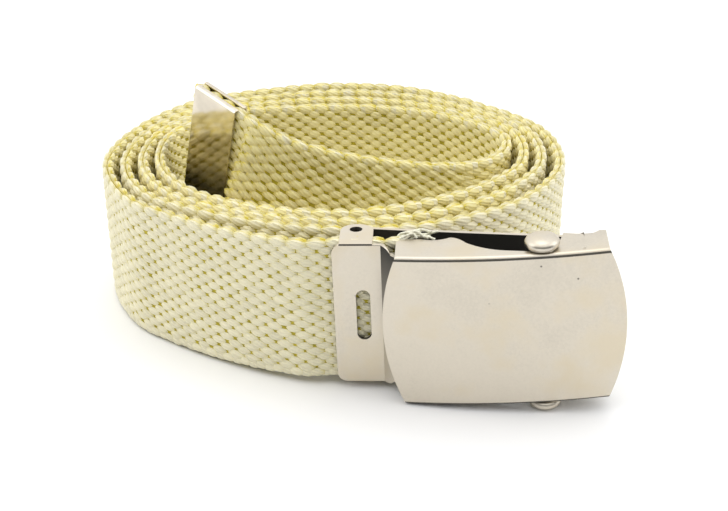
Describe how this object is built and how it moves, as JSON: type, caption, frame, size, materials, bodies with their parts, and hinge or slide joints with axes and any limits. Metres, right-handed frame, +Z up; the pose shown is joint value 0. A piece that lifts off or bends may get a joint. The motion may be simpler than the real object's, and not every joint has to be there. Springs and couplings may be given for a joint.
{
  "type": "military web belt with roller buckle",
  "caption": "Coiled cotton web belt standing on its edge, with a sheet metal roller buckle at the outer end and a metal tip at the inner end.",
  "frame": {"origin": "middle of the footprint, on the surface that the coil stands on", "axes": "+Z up across the webbing, +X along the buckle away from the clamp, -Y out of the buckle's face"},
  "size_m": [0.1108, 0.1008, 0.0469],
  "materials": {
    "cotton_webbing": "natural woven cotton",
    "satin_nickel": "satin nickel plate",
    "polished_tip": "polished nickel plate"
  },
  "bodies": {
    "belt": {"webbing": "cotton_webbing", "belt_tip": "polished_tip", "buckle_face": "satin_nickel", "clamp_plate": "satin_nickel", "back_plate": "satin_nickel", "hinge_pin": "satin_nickel"},
    "roller": {"roller_bar": "satin_nickel"}
  },
  "joints": [
    {"name": "roller_slide", "type": "slide", "parent": "belt", "child": "roller", "axis": [-0.95, 0.3021, -0.0795], "range_m": [0, 0.0082]}
  ]
}
